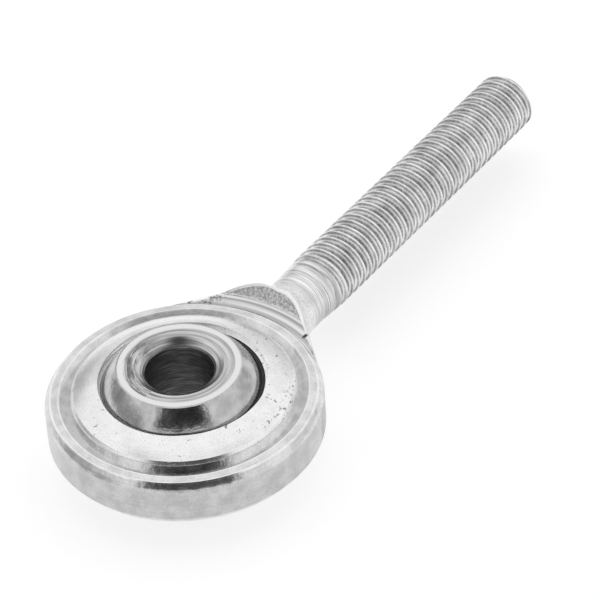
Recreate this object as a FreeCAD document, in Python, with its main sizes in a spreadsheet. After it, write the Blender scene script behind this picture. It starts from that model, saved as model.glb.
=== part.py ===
"""Male rod end bearing: a forged body with a rolled M5 shank, a staked race, its liner and a ball.

Millimetres. The origin is the centre of the ball, +Z is the axis of the ball's bore, and the
threaded shank points along +X. Every piece is the same above and below the plane Z = 0.
"""

import FreeCAD, Part
import math
import os
import re
import Sketcher

DIMENSIONS = {
    # eye of the body, turned about an axis that stands off the ball's centre towards the shank
    "eye_offset": 0.25,
    "eye_diameter": 20.0,
    "eye_wall_height": 2.5,
    "crest_outer_diameter": 19.15,
    "crest_outer_height": 3.66,
    "crest_inner_diameter": 17.9,
    "crest_inner_height": 3.8,
    "groove_floor_diameter": 17.0,
    "groove_floor_height": 3.0,
    "stake_lip_width": 0.07,
    "stake_lip_height": 4.06,
    # neck, turned about X and then faced about Z
    "neck_face_diameter": 22.7,
    "neck_face_height": 2.9,
    "facing_nose_radius": 0.4,
    "neck_fillet": 3.5,
    "neck_edge_fillet": 0.25,
    "bulge_shift": 0.95,
    "bulge_start": 6.2,
    "bulge_start_radius": 6.85,
    "bulge_shoulder": 12.15,
    "bulge_shoulder_radius": 2.5,
    "bulge_end": 12.9,
    "bulge_end_radius": 1.3,
    # shank
    "blank_diameter": 4.46,
    "thread_diameter": 4.83,
    "thread_pitch": 0.8,
    "thread_depth": 0.44,
    "thread_root_width": 0.16,
    "thread_half_angle": 30,
    "cutter_clearance": 0.06,
    "cutter_overrun": 1.2,
    "thread_start": 17.2,
    "runout_start": 14.6,
    "runout_angle": 6.5,
    "shank_tip": 43.0,
    "tip_chamfer": 0.45,
    # race
    "race_diameter": 16.0,
    "seat_diameter": 13.28,
    "mouth_diameter": 12.16,
    "mouth_height": 6.16,
    "mouth_ledge_height": 5.56,
    "race_face_diameter": 15.7,
    "race_face_height": 4.5,
    "race_face_radius": 7.5,
    "race_edge_height": 4.14,
    # liner
    "liner_outer_diameter": 13.24,
    "liner_inner_diameter": 12.74,
    "liner_width": 5.48,
    # ball
    "ball_diameter": 12.7,
    "ball_width": 9.0,
    "ball_sphere_width": 8.88,
    "ball_face_diameter": 8.8,
    "bore_diameter": 5.0,
    "dish_diameter": 8.0,
    "dish_step_diameter": 6.4,
    "dish_step_width": 8.88,
    "bore_mouth_diameter": 5.3,
    "bore_mouth_width": 8.2,
    "bore_wall_width": 7.9,
}

DATUM_ORIGIN = -1
H_AXIS = -1
V_AXIS = -2

document = FreeCAD.newDocument("rod_end_bearing")
sheet = document.addObject("Spreadsheet::Sheet", "Sizes")
for row, (alias, number) in enumerate(DIMENSIONS.items(), start=1):
    sheet.set(f"A{row}", alias)
    sheet.set(f"B{row}", str(number))
    sheet.setAlias(f"B{row}", alias)
document.recompute()


def bound(expression):
    """The expression with each of its aliases written as a reference to the sheet."""
    return re.sub(
        "[a-z_]+",
        lambda word: f"Sizes.{word[0]}" if word[0] in DIMENSIONS else word[0],
        expression,
    )


def value(expression):
    """The number that an expression in the sheet's aliases gives."""
    return float(sheet.evalExpression(bound(expression)))


def new_body(label, along_x="0"):
    """An empty body whose own origin stands along X from the ball's centre."""
    body = document.addObject("PartDesign::Body", label)
    body.Label = label
    body.Placement = FreeCAD.Placement()
    body.setExpression("Placement.Base.x", bound(along_x))
    return body


def pin_vertex(sketch, geometry, end, axis, expression):
    """Hold one coordinate of a vertex at an expression, measured from the sketch's origin."""
    across = axis == "X"
    if expression == "0":
        sketch.addConstraint(
            Sketcher.Constraint("PointOnObject", geometry, end, V_AXIS if across else H_AXIS)
        )
        return
    length = value(expression)
    if length < 0:
        index = sketch.addConstraint(
            Sketcher.Constraint(f"Distance{axis}", geometry, end, DATUM_ORIGIN, 1, -length)
        )
        sketch.setExpression(f"Constraints[{index}]", bound(f"-({expression})"))
        return
    index = sketch.addConstraint(
        Sketcher.Constraint(f"Distance{axis}", DATUM_ORIGIN, 1, geometry, end, length)
    )
    sketch.setExpression(f"Constraints[{index}]", bound(expression))


def arc_between(start, end, radius):
    """The minor arc from start to end: a positive radius turns left, a negative one right."""
    chord = end - start
    half = chord.Length / 2
    left = FreeCAD.Vector(-chord.y, chord.x, 0).normalize()
    side = math.copysign(1, radius)
    centre = start + chord / 2 + left * side * math.sqrt(radius**2 - half**2)
    middle = centre - left * side * abs(radius)
    return Part.Arc(start, middle, end)


def draw(body, name, *outlines, along_x="0", along_y="0"):
    """A sketch of closed outlines on the body's XZ plane, moved along X and Y.

    Each corner of an outline is its two coordinates as expressions. A third entry makes the
    edge that leaves the corner an arc of that radius; a minus sign turns it to the right.
    """
    sketch = body.newObject("Sketcher::SketchObject", name)
    plane = next(item for item in body.Origin.OriginFeatures if item.Role == "XZ_Plane")
    sketch.AttachmentSupport = [(plane, "")]
    sketch.MapMode = "FlatFace"
    sketch.setExpression("AttachmentOffset.Base.x", bound(along_x))
    sketch.setExpression("AttachmentOffset.Base.z", bound(f"-({along_y})"))
    for outline in outlines:
        places = [FreeCAD.Vector(value(corner[0]), value(corner[1]), 0) for corner in outline]
        first = sketch.GeometryCount
        for number, corner in enumerate(outline):
            start = places[number]
            end = places[(number + 1) % len(outline)]
            if len(corner) == 2:
                sketch.addGeometry(Part.LineSegment(start, end))
                continue
            sketch.addGeometry(arc_between(start, end, value(corner[2])))
        ends = [edge_ends(sketch, first + number, places[number]) for number in range(len(outline))]
        for number, corner in enumerate(outline):
            geometry = first + number
            following = (number + 1) % len(outline)
            sketch.addConstraint(
                Sketcher.Constraint(
                    "Coincident", geometry, ends[number][1], first + following, ends[following][0]
                )
            )
            pin_vertex(sketch, geometry, ends[number][0], "X", corner[0])
            pin_vertex(sketch, geometry, ends[number][0], "Y", corner[1])
            if len(corner) == 3:
                index = sketch.addConstraint(
                    Sketcher.Constraint("Radius", geometry, abs(value(corner[2])))
                )
                sketch.setExpression(f"Constraints[{index}]", bound(corner[2].lstrip("-")))
    document.recompute()
    return sketch


def edge_ends(sketch, geometry, start):
    """Which end of an edge lies on start, and which is the other: a sketch turns arcs its own way."""
    near = sketch.getPoint(geometry, 1).distanceToPoint(start) < 1e-6
    return (1, 2) if near else (2, 1)


def turn(body, name, sketch, axis, cut=False):
    """Revolve a sketch a full turn, adding to the body or cutting it."""
    kind = "PartDesign::Groove" if cut else "PartDesign::Revolution"
    feature = body.newObject(kind, name)
    feature.Profile = sketch
    feature.ReferenceAxis = (sketch, [axis])
    feature.Angle = 360
    document.recompute()
    return feature


def mirrored(upper):
    """Both halves of an outline, given the corners above Z = 0 from the outside in."""
    lower = [(corner[0], f"-({corner[1]})") for corner in reversed(upper)]
    return list(upper) + lower


def rims_of_facing(shape):
    """The curved edges between the faces turned about Z and those of the forging round X."""
    rims = []
    for number, edge in enumerate(shape.Edges, start=1):
        faces = shape.ancestorsOfType(edge, Part.Face)
        turned = [abs(face.Surface.Axis.z) > 0.99 for face in faces]
        if edge.Curve.TypeId != "Part::GeomLine" and len(set(turned)) == 2:
            rims.append(f"Edge{number}")
    return rims


def helical_cut(body, name, height, angle, backwards):
    """A V groove of the thread's section, wound about X from the start of the full thread."""
    rise = "thread_depth + cutter_clearance"
    spread = f"({rise}) * tan(thread_half_angle)"
    root = "thread_diameter / 2 - thread_depth"
    sketch = draw(
        body,
        f"{name}_section",
        [
            ("thread_start - thread_root_width / 2", root),
            ("thread_start + thread_root_width / 2", root),
            (f"thread_start + thread_root_width / 2 + {spread}", f"{root} + {rise}"),
            (f"thread_start - thread_root_width / 2 - {spread}", f"{root} + {rise}"),
        ],
    )
    helix = body.newObject("PartDesign::SubtractiveHelix", name)
    helix.Profile = sketch
    helix.ReferenceAxis = (sketch, ["H_Axis"])
    helix.Mode = "pitch-height-angle"
    helix.Reversed = backwards
    helix.setExpression("Pitch", bound("thread_pitch"))
    helix.setExpression("Height", bound(height))
    helix.setExpression("Angle", bound(angle))
    document.recompute()
    return helix


def make_rod_end_body():
    body = new_body("rod_end_body", "eye_offset")
    tangent = "eye_diameter / 2 * sqrt(2)"
    shoulder = "eye_diameter / 2 / sqrt(2)"
    fillet_end = f"{tangent} + (sqrt(2) - 1) * neck_fillet - blank_diameter / 2"
    neck = draw(
        body,
        "neck_and_shank_profile",
        [
            (shoulder, "0"),
            (shoulder, shoulder),
            (
                f"{fillet_end} - neck_fillet / sqrt(2)",
                "blank_diameter / 2 + neck_fillet * (1 - 1 / sqrt(2))",
                "neck_fillet",
            ),
            (fillet_end, "blank_diameter / 2"),
            ("runout_start", "blank_diameter / 2"),
            ("thread_start", "thread_diameter / 2"),
            ("shank_tip - tip_chamfer", "thread_diameter / 2"),
            ("shank_tip", "thread_diameter / 2 - tip_chamfer"),
            ("shank_tip", "0"),
        ],
    )
    turn(body, "neck_and_shank", neck, "H_Axis")

    height = "neck_face_height / 2"
    nose = "facing_nose_radius * (sqrt(2) - 1)"
    clear = "eye_diameter / 2"
    faces = [
        [
            ("0", f"{side}({height})"),
            (
                f"neck_face_diameter / 2 - {nose}",
                f"{side}({height})",
                f"{side}facing_nose_radius",
            ),
            (
                f"neck_face_diameter / 2 + {nose} / sqrt(2)",
                f"{side}({height} + {nose} / sqrt(2))",
            ),
            (f"neck_face_diameter / 2 + {clear} - {height}", f"{side}({clear})"),
            ("0", f"{side}({clear})"),
        ]
        for side in ("", "-")
    ]
    facing = turn(body, "neck_faces", draw(body, "neck_facing_profile", *faces), "V_Axis", cut=True)
    rounding = body.newObject("PartDesign::Fillet", "neck_edges")
    rounding.Base = (facing, rims_of_facing(facing.Shape))
    rounding.setExpression("Radius", bound("neck_edge_fillet"))
    document.recompute()

    # The forging bulges to one side, so a second cone stands off the first and is faced with it.
    bulge = draw(
        body,
        "forged_bulge_profile",
        [
            ("bulge_start", "0"),
            ("bulge_start", "bulge_start_radius"),
            ("bulge_shoulder", "bulge_shoulder_radius"),
            ("bulge_end", "bulge_end_radius"),
            ("bulge_end", "0"),
        ],
        along_y="bulge_shift",
    )
    turn(body, "forged_bulge", bulge, "H_Axis")
    turn(body, "bulge_faces", draw(body, "bulge_facing_profile", *faces), "V_Axis", cut=True)

    rim = [
        ("race_diameter / 2", "stake_lip_height / 2"),
        ("race_diameter / 2 + stake_lip_width", "stake_lip_height / 2"),
        ("groove_floor_diameter / 2", "groove_floor_height / 2"),
        ("crest_inner_diameter / 2", "crest_inner_height / 2"),
        ("crest_outer_diameter / 2", "crest_outer_height / 2"),
        ("eye_diameter / 2", "eye_wall_height / 2"),
    ]
    turn(body, "eye", draw(body, "eye_profile", mirrored(rim)), "V_Axis")

    bore = draw(
        body,
        "eye_bore_profile",
        [
            ("0", "eye_diameter / 2"),
            ("race_diameter / 2", "eye_diameter / 2"),
            ("race_diameter / 2", "-eye_diameter / 2"),
            ("0", "-eye_diameter / 2"),
        ],
    )
    turn(body, "eye_bore", bore, "V_Axis", cut=True)

    full_length = "shank_tip - thread_start + cutter_overrun"
    helical_cut(body, "full_thread", full_length, "0", False)
    helical_cut(body, "thread_runout", "thread_start - runout_start", "runout_angle", True)
    return body


def make_outer_race():
    body = new_body("outer_race", "eye_offset")
    upper = [
        ("mouth_diameter / 2", "mouth_height / 2"),
        ("mouth_diameter / 2", "mouth_ledge_height / 2"),
        ("0", "mouth_ledge_height / 2"),
    ]
    outline = [
        ("race_diameter / 2", "race_edge_height / 2"),
        ("race_face_diameter / 2", "race_face_height / 2", "race_face_radius"),
        *upper,
        *[(corner[0], f"-({corner[1]})") for corner in reversed(upper[1:])],
        ("mouth_diameter / 2", "-mouth_height / 2", "race_face_radius"),
        ("race_face_diameter / 2", "-race_face_height / 2"),
        ("race_diameter / 2", "-race_edge_height / 2"),
    ]
    turn(body, "race_blank", draw(body, "race_profile", outline), "V_Axis")
    seat = draw(
        body,
        "seat_profile",
        [
            ("0", "-seat_diameter / 2", "seat_diameter / 2"),
            ("seat_diameter / 2", "0", "seat_diameter / 2"),
            ("0", "seat_diameter / 2"),
        ],
        along_x="-eye_offset",
    )
    turn(body, "seat", seat, "V_Axis", cut=True)
    return body


def make_sliding_liner():
    body = new_body("sliding_liner")
    half = "liner_width / 2"
    outside = f"sqrt((liner_outer_diameter / 2) ^ 2 - ({half}) ^ 2)"
    inside = f"sqrt((liner_inner_diameter / 2) ^ 2 - ({half}) ^ 2)"
    outline = [
        (outside, half, "-liner_outer_diameter / 2"),
        (outside, f"-({half})"),
        (inside, f"-({half})", "liner_inner_diameter / 2"),
        (inside, half),
    ]
    turn(body, "liner_shell", draw(body, "liner_profile", outline), "V_Axis")
    return body


def make_ball():
    body = new_body("ball")
    upper = [
        ("bore_diameter / 2", "bore_wall_width / 2"),
        ("bore_mouth_diameter / 2", "bore_mouth_width / 2"),
        ("dish_step_diameter / 2", "dish_step_width / 2"),
        ("dish_diameter / 2", "ball_width / 2"),
        ("ball_face_diameter / 2", "ball_width / 2"),
    ]
    shoulder = "sqrt((ball_diameter / 2) ^ 2 - (ball_sphere_width / 2) ^ 2)"
    outline = [
        *upper,
        (shoulder, "ball_sphere_width / 2", "-ball_diameter / 2"),
        (shoulder, "-ball_sphere_width / 2"),
        *[(corner[0], f"-({corner[1]})") for corner in reversed(upper)],
    ]
    turn(body, "ball_ring", draw(body, "ball_profile", outline), "V_Axis")
    return body


bodies = [make_rod_end_body(), make_outer_race(), make_sliding_liner(), make_ball()]
document.recompute()

for item in document.Objects:
    if "Invalid" in item.State or "Error" in item.State:
        raise SystemExit(f"{item.Label} failed: {item.State}")

os.makedirs("parts", exist_ok=True)
for body in bodies:
    shape = body.Shape
    if shape.isNull() or not shape.isValid() or len(shape.Solids) != 1:
        raise SystemExit(f"{body.Label} has no single valid solid")
    shape.exportStep(f"parts/{body.Label}.step")
    print(f"{body.Label}: {shape.Volume:.2f} mm3, box {shape.BoundBox}")
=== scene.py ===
import bpy
import math
from mathutils import Matrix, Vector


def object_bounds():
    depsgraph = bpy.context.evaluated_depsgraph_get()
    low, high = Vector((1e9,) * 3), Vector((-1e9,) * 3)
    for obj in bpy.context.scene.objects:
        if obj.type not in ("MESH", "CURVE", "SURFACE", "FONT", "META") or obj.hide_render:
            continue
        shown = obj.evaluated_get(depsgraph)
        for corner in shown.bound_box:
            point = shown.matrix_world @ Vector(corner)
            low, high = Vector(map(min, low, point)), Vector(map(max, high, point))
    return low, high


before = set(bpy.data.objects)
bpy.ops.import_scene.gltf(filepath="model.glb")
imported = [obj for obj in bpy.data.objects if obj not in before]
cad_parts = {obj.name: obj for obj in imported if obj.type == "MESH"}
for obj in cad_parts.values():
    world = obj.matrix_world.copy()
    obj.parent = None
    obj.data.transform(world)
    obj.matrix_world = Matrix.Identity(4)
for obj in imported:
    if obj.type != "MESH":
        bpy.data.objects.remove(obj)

cad_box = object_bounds()

MM = 0.001
FLOOR_Z = cad_box[0][2]
SIDE = (0.61, -0.79)     # a horizontal direction, towards the gap that stands open beside the ball
RELIEF_DEPTH = 0.02      # mm, of the metals' relief

# the body, in mm from the axis of its eye, with heights from the middle plane
EYE_CENTRE_X = 0.25      # from the ball's centre to the axis of the eye
EYE_RADIUS = 10.0
EYE_WALL_Z = 1.25        # where the eye's wall ends and its chamfer starts
OUTER_RIM = 9.575        # radii of the two raised edges that run round the eye
INNER_RIM = 8.95
RIM_FOOT = 1.7           # both raised edges stand higher than this
FLAT_Z = 1.45            # the machined flat of the neck
STEP_RADIUS = 11.35      # where the neck's flat meets its sloping wall
CREST_RADIUS = 2.415     # of the thread
FLANK_RADIUS = 2.2       # half way down the thread's flanks
BLANK_RADIUS = 2.23      # of the plain shank
NECK_APEX = EYE_RADIUS * math.sqrt(2)        # where the neck's 45 degree cone would end
NECK_FILLET = 3.5
NECK_FILLET_END = NECK_APEX - BLANK_RADIUS + NECK_FILLET * math.tan(math.radians(22.5))
BULGE_SHIFT = 0.95       # the forging's bulge stands to the +Y side
BULGE_START = 6.2
BULGE_START_RADIUS = 6.85
BULGE_SHOULDER = 12.15
BULGE_SHOULDER_RADIUS = 2.5
STAIN_ANGLES = (-1.06, -0.80)                # radians, a stain on the eye's wall
NICK = (9.79, -3.68)     # beside the neck's flat

# the ball, in mm
BORE_RADIUS = 2.5
DISH_RADIUS = 4.0
RING_RADIUS = 4.4        # outer edge of the ball's face ring
OIL_AND_REFLECTION_SPOT = (2.3, 1.77)        # centre of a dark spot of oil and painted reflection, on one side of its bore's mouth

PAPER_GREY = 0.50
PAPER_GLOW = 0.64

# camera: the photograph's viewing angle
CAMERA_AZIMUTH = math.radians(52.45)
CAMERA_ELEVATION = math.radians(40.06)
CAMERA_ROLL = math.radians(-4.05)
CAMERA_DISTANCE = 267.8 * MM
CAMERA_AIM = Vector((14.53, 0.0, 0.0)) * MM
CAMERA_LENS = 217.5
SENSOR_WIDTH = 36.0


def direction(azimuth, elevation):
    """The unit vector that looks along an azimuth, from +Y towards +X, and down by an elevation."""
    flat = math.cos(elevation)
    return Vector((math.sin(azimuth) * flat, math.cos(azimuth) * flat, -math.sin(elevation)))


def make_camera():
    forward = direction(CAMERA_AZIMUTH, CAMERA_ELEVATION)
    right = Vector((math.cos(CAMERA_AZIMUTH), -math.sin(CAMERA_AZIMUTH), 0.0))
    up = right.cross(forward)
    turn = Matrix.Rotation(CAMERA_ROLL, 3, -forward)
    right, up = turn @ right, turn @ up
    data = bpy.data.cameras.new("camera")
    data.lens = CAMERA_LENS
    data.sensor_width = SENSOR_WIDTH
    data.clip_start = 10 * MM
    camera = bpy.data.objects.new("camera", data)
    basis = Matrix((right, up, -forward)).transposed().to_4x4()
    camera.matrix_world = Matrix.Translation(CAMERA_AIM - forward * CAMERA_DISTANCE) @ basis
    bpy.context.collection.objects.link(camera)
    bpy.context.scene.camera = camera


class Graph:
    """Short names for the nodes of one tree. A value is a number or another node's output."""

    def __init__(self, tree):
        self.tree = tree

    def node(self, kind, inputs=(), **settings):
        node = self.tree.nodes.new(kind)
        for name, setting in settings.items():
            setattr(node, name, setting)
        for key, value in dict(inputs).items():
            self.feed(node.inputs[key], value)
        return node

    def feed(self, socket, value):
        if isinstance(value, bpy.types.NodeSocket):
            self.tree.links.new(value, socket)
        else:
            socket.default_value = value

    def math(self, operation, *values):
        return self.node("ShaderNodeMath", enumerate(values), operation=operation).outputs[0]

    def add(self, *values):
        total = values[0]
        for value in values[1:]:
            total = self.math("ADD", total, value)
        return total

    def times(self, *values):
        total = values[0]
        for value in values[1:]:
            total = self.math("MULTIPLY", total, value)
        return total

    def ramp(self, value, start, end, low=0.0, high=1.0):
        """Smooth step of a value from low at start to high at end."""
        inputs = {"Value": value, "From Min": start, "From Max": end, "To Min": low, "To Max": high}
        node = self.node("ShaderNodeMapRange", inputs, interpolation_type="SMOOTHSTEP")
        return node.outputs[0]

    def band(self, value, start, end, soft):
        """One between start and end, falling to zero over soft outside of them."""
        rise = self.ramp(value, start - soft, start)
        fall = self.ramp(value, end, end + soft, 1.0, 0.0)
        return self.times(rise, fall)

    def mix(self, base, over, mask):
        inputs = {0: mask, 2: base, 3: over}
        return self.node("ShaderNodeMix", inputs, data_type="FLOAT").outputs[0]

    def length(self, *values):
        squares = [self.math("MULTIPLY", value, value) for value in values]
        return self.math("SQRT", self.add(*squares))

    def vector(self, x, y, z):
        return self.node("ShaderNodeCombineXYZ", {0: x, 1: y, 2: z}).outputs[0]

    def noise(self, place, scale, detail=2.0, rough=0.5, distortion=0.0):
        inputs = {"Vector": place, "Scale": scale, "Detail": detail, "Roughness": rough,
                  "Distortion": distortion}
        return self.node("ShaderNodeTexNoise", inputs).outputs[0]


class Metal(Graph):
    """A metal whose textures are measured in millimetres of the piece itself."""

    def __init__(self, name, centre_x=0.0):
        self.material = bpy.data.materials.new(name)
        self.material.use_nodes = True
        super().__init__(self.material.node_tree)
        self.shader = self.tree.nodes["Principled BSDF"]
        self.shader.inputs["Metallic"].default_value = 1.0
        here = self.node("ShaderNodeTexCoord").outputs["Object"]
        shift = (-centre_x, 0.0, 0.0)
        scale = (1 / MM, 1 / MM, 1 / MM)
        self.place = self.node(
            "ShaderNodeMapping", {"Vector": here, "Location": shift, "Scale": scale}
        ).outputs[0]
        self.x, self.y, self.z = self.node("ShaderNodeSeparateXYZ", {0: self.place}).outputs
        self.height = self.math("ABSOLUTE", self.z)
        self.radius = self.length(self.x, self.y)
        self.angle = self.math("ARCTAN2", self.y, self.x)
        self.sideways = self.add(self.times(self.x, SIDE[0]), self.times(self.y, SIDE[1]))

    def cloud(self, mottle, grain, slow, fine):
        """Slow clouds and fine grain of the finish."""
        return self.add(
            self.times(self.ramp(mottle, 0.3, 0.7), slow), self.times(self.ramp(grain, 0.3, 0.7), fine)
        )

    def distance(self, place):
        """Distance in plan from a place (x, y)."""
        return self.length(self.add(self.x, -place[0]), self.add(self.y, -place[1]))

    def rings(self, pitch, wander=0.6, detail=3.0, seed=0.0):
        """Lathe lines about the bore's axis, a few of which fade round the circle."""
        along = self.times(self.radius, 1 / pitch)
        across = self.times(self.z, 1 / pitch)
        drift_x = self.times(self.math("COSINE", self.angle), wander)
        drift_y = self.times(self.math("SINE", self.angle), wander)
        place = self.vector(along, self.add(across, drift_x, seed), drift_y)
        return self.noise(place, 1.0, detail, 0.6)

    def finish(self, tone, rough, relief, depth=RELIEF_DEPTH):
        """Join the grey tone, the roughness and the relief in millimetres to the shader."""
        bump = self.node("ShaderNodeBump", {"Strength": 1.0, "Distance": depth * MM, "Height": relief})
        self.feed(self.shader.inputs["Base Color"], tone)
        self.feed(self.shader.inputs["Roughness"], rough)
        self.feed(self.shader.inputs["Normal"], bump.outputs[0])
        return self.material


def eye_finish(m, mottle, grain, worn):
    """The machined eye: fine lathe lines, raised edges worn and painted bright as highlights, and cloudy
    plating with a stain.
    """
    rings = m.rings(0.16)
    tone = m.add(0.48, m.cloud(mottle, grain, 0.16, 0.10), m.times(rings, 0.14))
    tone = m.times(tone, m.ramp(m.height, EYE_WALL_Z - 0.10, EYE_WALL_Z + 0.05, 0.76, 1.0))

    # the two raised edges painted bright as highlights, more strongly where worn
    outer_edge = m.band(m.radius, OUTER_RIM - 0.055, OUTER_RIM + 0.045, 0.05)
    inner_edge = m.band(m.radius, INNER_RIM - 0.05, INNER_RIM + 0.04, 0.05)
    edges = m.times(m.math("MAXIMUM", outer_edge, inner_edge), m.ramp(m.height, RIM_FOOT, RIM_FOOT + 0.06))
    tone = m.mix(tone, 0.95, m.times(edges, m.ramp(worn, 0.0, 1.0, 0.35, 0.8)))

    stained_angle = m.band(m.add(m.angle, m.times(mottle, 0.2)), *STAIN_ANGLES, 0.06)
    stain = m.times(stained_angle, m.ramp(m.height, EYE_WALL_Z - 0.15, EYE_WALL_Z + 0.05, 1.0, 0.0))
    tone = m.mix(tone, 0.22, m.times(stain, m.ramp(grain, 0.3, 0.6, 0.4, 0.9)))

    dents = m.noise(m.place, 1.4, 2.0, 0.5)
    rounding = m.ramp(m.height, EYE_WALL_Z - 0.15, EYE_WALL_Z + 0.25)
    relief = m.add(m.times(rings, 0.25), m.times(dents, 1.4), m.times(rounding, 2.4))
    return tone, m.add(0.12, m.times(mottle, 0.20)), relief


def depth_under_skin(m, reach):
    """How deep a point lies under the forged skin: under its cone and fillet, or under its bulge."""
    cone = m.math("SUBTRACT", NECK_APEX, m.x)
    from_fillet = m.math("SUBTRACT", NECK_FILLET_END, m.x)
    span = m.math("SUBTRACT", NECK_FILLET**2, m.times(from_fillet, from_fillet))
    fillet = m.math("SUBTRACT", BLANK_RADIUS + NECK_FILLET, m.math("SQRT", m.math("MAXIMUM", span, 0.0)))
    skin = m.mix(cone, fillet, m.math("GREATER_THAN", m.x, NECK_FILLET_END - NECK_FILLET / math.sqrt(2)))
    slope = (BULGE_START_RADIUS - BULGE_SHOULDER_RADIUS) / (BULGE_SHOULDER - BULGE_START)
    bulge = m.add(m.times(m.math("SUBTRACT", BULGE_SHOULDER, m.x), slope), BULGE_SHOULDER_RADIUS)
    under_skin = m.math("SUBTRACT", skin, reach)
    under_bulge = m.math("SUBTRACT", bulge, m.length(m.add(m.y, -BULGE_SHIFT), m.z))
    return m.math("MAXIMUM", under_skin, under_bulge)


def shank_finish(m, reach, grit, worn):
    """The shank: marks round it, painted lighter on top and darker underneath; on the thread, painted
    highlights along the crests and half way down the flanks, and the rest of the flanks painted dark as
    shade.
    """
    marks = m.noise(m.vector(m.times(m.x, 9.0), m.times(m.y, 0.25), m.times(m.z, 0.25)), 1.0, 3.0, 0.65)
    turned = m.add(0.44, m.times(m.ramp(marks, 0.35, 0.65), 0.42))
    # painted light and shade: the plain shank lighter on top and darker underneath
    plain_tone = m.times(turned, m.ramp(m.z, -1.0, 1.6, 0.80, 1.1))

    # painted highlights along the thread's crests and half way down its flanks; the rest of the flanks
    # painted dark as shade, with grit and wear
    crest_highlight = m.ramp(reach, CREST_RADIUS - 0.05, CREST_RADIUS - 0.02)
    flank_highlight = m.band(reach, FLANK_RADIUS - 0.03, FLANK_RADIUS + 0.03, 0.05)
    shaded_flank = m.add(0.24, m.times(m.ramp(grit, 0.35, 0.65), 0.26), m.times(worn, 0.16))
    painted_highlight = m.add(0.52, m.times(worn, 0.3), m.times(marks, 0.2))
    thread_shade_and_highlights = m.mix(shaded_flank, painted_highlight, crest_highlight)
    thread_shade_and_highlights = m.mix(thread_shade_and_highlights, m.add(painted_highlight, 0.16), flank_highlight)
    # painted shade: the thread darker towards its underside, a little lighter on top
    thread_shade_and_highlights = m.times(thread_shade_and_highlights, m.ramp(m.z, -2.4, 1.2, 0.66, 1.04))
    return m.mix(plain_tone, thread_shade_and_highlights, m.ramp(m.x, 15.6, 17.4)), m.times(marks, 0.9)


def burr_mask(m):
    """Torn metal along the neck's flat on the +Y side, and one nick on the other side of it."""
    torn = m.times(m.ramp(m.noise(m.place, 2.3, 4.0, 0.7), 0.50, 0.58), m.ramp(m.y, 3.2, 4.6))
    torn = m.times(torn, m.ramp(m.height, FLAT_Z - 0.35, FLAT_Z - 0.1))
    along_nick = m.times(m.add(m.x, -NICK[0]), 0.5)
    nick = m.ramp(m.length(along_nick, m.add(m.y, -NICK[1])), 0.08, 0.20, 1.0, 0.0)
    outside_eye = m.ramp(m.radius, EYE_RADIUS + 0.05, EYE_RADIUS + 0.15)
    return m.times(m.math("MAXIMUM", m.times(torn, 0.75), nick), outside_eye)


def plated_steel():
    """Zinc-plated body: turned eye and neck flat, forged wall and neck, rolled shank."""
    m = Metal("plated_steel", EYE_CENTRE_X)
    mottle = m.noise(m.place, 0.9, 4.0, 0.55)
    grain = m.noise(m.place, 9.0, 3.0, 0.6)
    grit = m.noise(m.place, 5.5, 5.0, 0.68)
    worn = m.ramp(m.noise(m.place, 0.8, 4.0, 0.65), 0.3, 0.7)
    coarse_rings = m.rings(0.42, 0.35, 1.0, 7.0)
    reach = m.length(m.y, m.z)
    depth = depth_under_skin(m, reach)

    # the neck's flat, with coarser lathe lines
    flat = m.band(m.height, FLAT_Z - 0.03, FLAT_Z + 0.03, 0.02)
    flat = m.times(flat, m.ramp(m.radius, EYE_RADIUS - 0.1, EYE_RADIUS + 0.1))
    flat = m.times(flat, m.ramp(m.radius, STEP_RADIUS - 0.1, STEP_RADIUS + 0.05, 1.0, 0.0))
    flat_tone = m.add(0.34, m.times(m.ramp(coarse_rings, 0.38, 0.62), 0.42), m.times(grain, 0.06))

    # the sloping wall cut through the forging, and the forged skin with a painted highlight along its edge
    wall = m.times(m.ramp(m.radius, STEP_RADIUS - 0.05, STEP_RADIUS + 0.1), m.ramp(depth, 0.22, 0.34))
    wall_tone = m.add(0.40, m.times(m.ramp(grit, 0.38, 0.60), 0.36))
    forged = m.ramp(m.radius, EYE_RADIUS + 0.05, EYE_RADIUS + 0.3)
    forged = m.times(forged, m.ramp(depth, 0.22, 0.34, 1.0, 0.0))
    forged_tone = m.add(0.66, m.times(m.ramp(grit, 0.3, 0.7), 0.26))
    # painted highlight: a bright line along the forged skin's edge
    forged_tone = m.mix(forged_tone, 0.96, m.times(m.band(depth, 0.04, 0.22, 0.02), 0.85))

    shank = m.ramp(m.x, 12.9, 13.5)
    shank_tone, shank_relief = shank_finish(m, reach, grit, worn)

    tone, rough, relief = eye_finish(m, mottle, grain, worn)
    tone = m.mix(tone, flat_tone, flat)
    tone = m.mix(tone, forged_tone, forged)
    tone = m.mix(tone, wall_tone, wall)
    tone = m.mix(tone, 0.06, burr_mask(m))
    tone = m.mix(tone, shank_tone, shank)
    rough = m.mix(rough, 0.30, flat)
    rough = m.mix(rough, 0.34, forged)
    rough = m.mix(rough, 0.48, wall)
    rough = m.mix(rough, 0.28, shank)
    relief = m.mix(relief, coarse_rings, flat)
    relief = m.mix(relief, m.times(grit, 3.0), m.math("MAXIMUM", wall, m.times(forged, 0.5)))
    relief = m.mix(relief, shank_relief, shank)
    return m.finish(tone, rough, relief)


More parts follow.
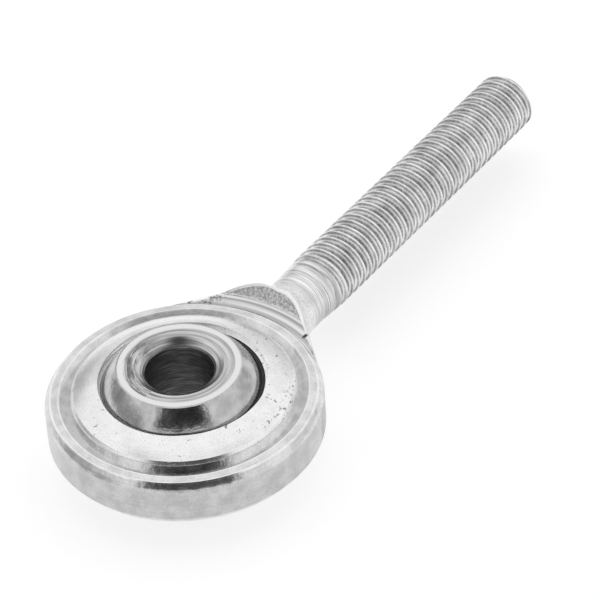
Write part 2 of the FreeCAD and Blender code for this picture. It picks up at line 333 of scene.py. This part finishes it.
def turned_steel():
    """Race: a domed satin face with fine lathe lines, specks, and pits that are thicker on one side."""
    m = Metal("turned_steel", EYE_CENTRE_X)
    mottle = m.noise(m.place, 0.7, 4.0, 0.6)
    rings = m.rings(0.13, 0.8)
    bruised = m.ramp(m.sideways, 4.6, 6.2)
    spots = m.noise(m.place, 2.6, 4.0, 0.65, 0.4)
    pits = m.ramp(m.add(spots, m.times(bruised, 0.05)), 0.66, 0.70)
    specks = m.times(m.ramp(m.noise(m.place, 7.0, 2.0), 0.66, 0.74), m.ramp(mottle, 0.45, 0.65))
    grain = m.noise(m.place, 11.0, 3.0, 0.6)
    tone = m.add(0.70, m.cloud(mottle, grain, 0.10, 0.12), m.times(rings, 0.10))
    tone = m.mix(tone, 0.16, m.math("MAXIMUM", m.times(pits, 0.8), m.times(specks, 0.5)))
    rough = m.add(0.18, m.times(mottle, 0.14))
    relief = m.add(m.times(rings, 0.3), m.times(pits, -1.5), m.times(specks, -0.6))
    return m.finish(tone, rough, relief)


def chromed_steel():
    """Ball: clouded sphere, bright face ring, ringed and scuffed dish with a dark spot of oil and painted
    reflection, and a bore painted dark as shade.
    """
    m = Metal("chromed_steel")
    mottle = m.noise(m.place, 1.1, 4.0, 0.6)
    rings = m.rings(0.2, 0.5)
    dish = m.ramp(m.radius, DISH_RADIUS - 0.1, DISH_RADIUS + 0.05, 1.0, 0.0)
    bore = m.ramp(m.radius, BORE_RADIUS + 0.1, BORE_RADIUS + 0.16, 1.0, 0.0)
    worn_side = m.ramp(m.sideways, -3.0, -0.5, 1.0, 0.0)
    scratches = m.noise(m.vector(m.times(m.radius, 4.0), m.times(m.angle, 1.2), 0.0), 1.0, 4.0, 0.7)
    scuff = m.times(m.ramp(scratches, 0.42, 0.60), dish, m.add(0.15, m.times(worn_side, 0.75)))
    tone = m.add(0.42, m.times(m.ramp(mottle, 0.3, 0.7), 0.18))
    tone = m.mix(0.78, tone, m.ramp(m.radius, RING_RADIUS - 0.02, RING_RADIUS + 0.06))
    dish_tone = m.add(0.36, m.times(m.ramp(rings, 0.35, 0.65), 0.34))
    tone = m.mix(tone, dish_tone, dish)
    tone = m.mix(tone, 0.10, scuff)
    # a dark spot in the dish: partly oil, partly a painted dark reflection
    oil_and_reflection = m.ramp(m.add(m.distance(OIL_AND_REFLECTION_SPOT), m.times(rings, 1.2)), 0.7, 2.3, 1.0, 0.0)
    tone = m.mix(tone, 0.06, m.times(oil_and_reflection, m.ramp(m.radius, 3.1, 3.35, 1.0, 0.0)))
    streaks = m.noise(m.vector(m.times(m.angle, 1.3), m.times(m.z, 11.0), 0.0), 1.0, 4.0, 0.7, 0.5)
    # painted shade: the bore dark inside, with streaks, and painted lighter towards its lower end
    bore_streaks_and_shade = m.add(0.11, m.times(m.ramp(streaks, 0.42, 0.66), 0.26), m.ramp(m.z, -3.5, 0.5, 0.24, 0.0))
    tone = m.mix(tone, bore_streaks_and_shade, bore)
    rough = m.add(0.10, m.times(mottle, 0.18), m.times(dish, 0.06), m.times(bore, 0.18))
    relief = m.mix(m.add(m.times(rings, 0.12), m.times(mottle, 1.6)), m.times(rings, 0.5), dish)
    relief = m.mix(relief, m.times(streaks, 2.0), bore)
    return m.finish(tone, rough, relief)


def liner_cloth():
    """Woven self-lubricating lining: grey and blotchy, with painted shade, near black, on the side where
    it stands open.
    """
    m = Metal("liner_cloth")
    m.shader.inputs["Metallic"].default_value = 0.0
    around = m.math("SINE", m.times(m.angle, 150.0))
    up = m.math("SINE", m.times(m.add(m.radius, m.z), 22.0))
    weave = m.times(around, up)
    blotches = m.noise(m.place, 1.5, 3.0, 0.6)
    painted_shade_side = m.add(m.sideways, m.times(blotches, 2.0))
    tone = m.add(0.72, m.times(m.ramp(weave, -1.0, 1.0), 0.12), m.times(blotches, 0.16))
    # painted shade: the lining near black on the side where the gap stands open beside the ball
    tone = m.mix(tone, m.times(tone, 0.03), m.ramp(painted_shade_side, 0.5, 3.5))
    rough = m.add(0.45, m.times(blotches, 0.35))
    return m.finish(tone, rough, weave, 0.03)


def dress_pieces():
    looks = {
        "rod_end_body": plated_steel,
        "outer_race": turned_steel,
        "sliding_liner": liner_cloth,
        "ball": chromed_steel,
    }
    for name, look in looks.items():
        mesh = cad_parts[name].data
        mesh.materials.clear()
        mesh.materials.append(look())


def make_world():
    """Light tent: white, dimmer low down, with the dark patches that the polished metal mirrors.

    Angles are in degrees. The azimuth is zero on the camera's side and grows to its left.
    """
    world = bpy.data.worlds.new("studio")
    world.use_nodes = True
    g = Graph(world.node_tree)
    background = world.node_tree.nodes["Background"]
    there = g.node("ShaderNodeTexCoord").outputs["Generated"]
    x, y, z = g.node("ShaderNodeSeparateXYZ", {0: there}).outputs
    elevation = g.times(g.math("ARCSINE", z), 180 / math.pi)
    toward = -direction(CAMERA_AZIMUTH, 0.0)
    ahead = g.add(g.times(x, toward.x), g.times(y, toward.y))
    aside = g.add(g.times(x, toward.y), g.times(y, -toward.x))
    azimuth = g.times(g.math("ARCTAN2", aside, ahead), 180 / math.pi)
    horizon = g.ramp(g.math("ABSOLUTE", azimuth), 80.0, 130.0, 0.90, 0.62)
    light = g.ramp(elevation, -5.0, 35.0, horizon, 1.0)
    # each dark patch: its azimuths and their soft edge, its elevations and theirs, its brightness
    beside = ((62.0, 150.0, 14.0), (-30.0, 14.0, 14.0), 0.42)
    overhead = ((-70.0, 70.0, 20.0), (50.0, 62.0, 6.0), 0.50)
    behind_camera = ((-36.0, 36.0, 4.0), (19.0, 47.0, 5.0), 0.03)
    for azimuths, elevations, brightness in (beside, overhead, behind_camera):
        patch = g.times(g.band(azimuth, *azimuths), g.band(elevation, *elevations))
        light = g.mix(light, brightness, patch)
    seen = g.node("ShaderNodeLightPath").outputs["Is Camera Ray"]
    background.inputs["Color"].default_value = (1.0, 1.0, 1.0, 1.0)
    g.feed(background.inputs["Strength"], g.mix(light, 1.0, seen))
    bpy.context.scene.world = world


def make_floor():
    half = 1.0
    mesh = bpy.data.meshes.new("floor")
    corners = [(x * half, y * half, FLOOR_Z) for x, y in ((-1, -1), (1, -1), (1, 1), (-1, 1))]
    mesh.from_pydata(corners, [], [(0, 1, 2, 3)])
    floor = bpy.data.objects.new("floor", mesh)
    bpy.context.collection.objects.link(floor)
    material = bpy.data.materials.new("paper")
    material.use_nodes = True
    shader = material.node_tree.nodes["Principled BSDF"]
    shader.inputs["Base Color"].default_value = (PAPER_GREY, PAPER_GREY, PAPER_GREY, 1.0)
    shader.inputs["Roughness"].default_value = 1.0
    shader.inputs["Emission Color"].default_value = (1.0, 1.0, 1.0, 1.0)
    shader.inputs["Emission Strength"].default_value = PAPER_GLOW
    mesh.materials.append(material)


make_camera()
make_world()
make_floor()
dress_pieces()
bpy.context.scene.view_settings.view_transform = "Standard"
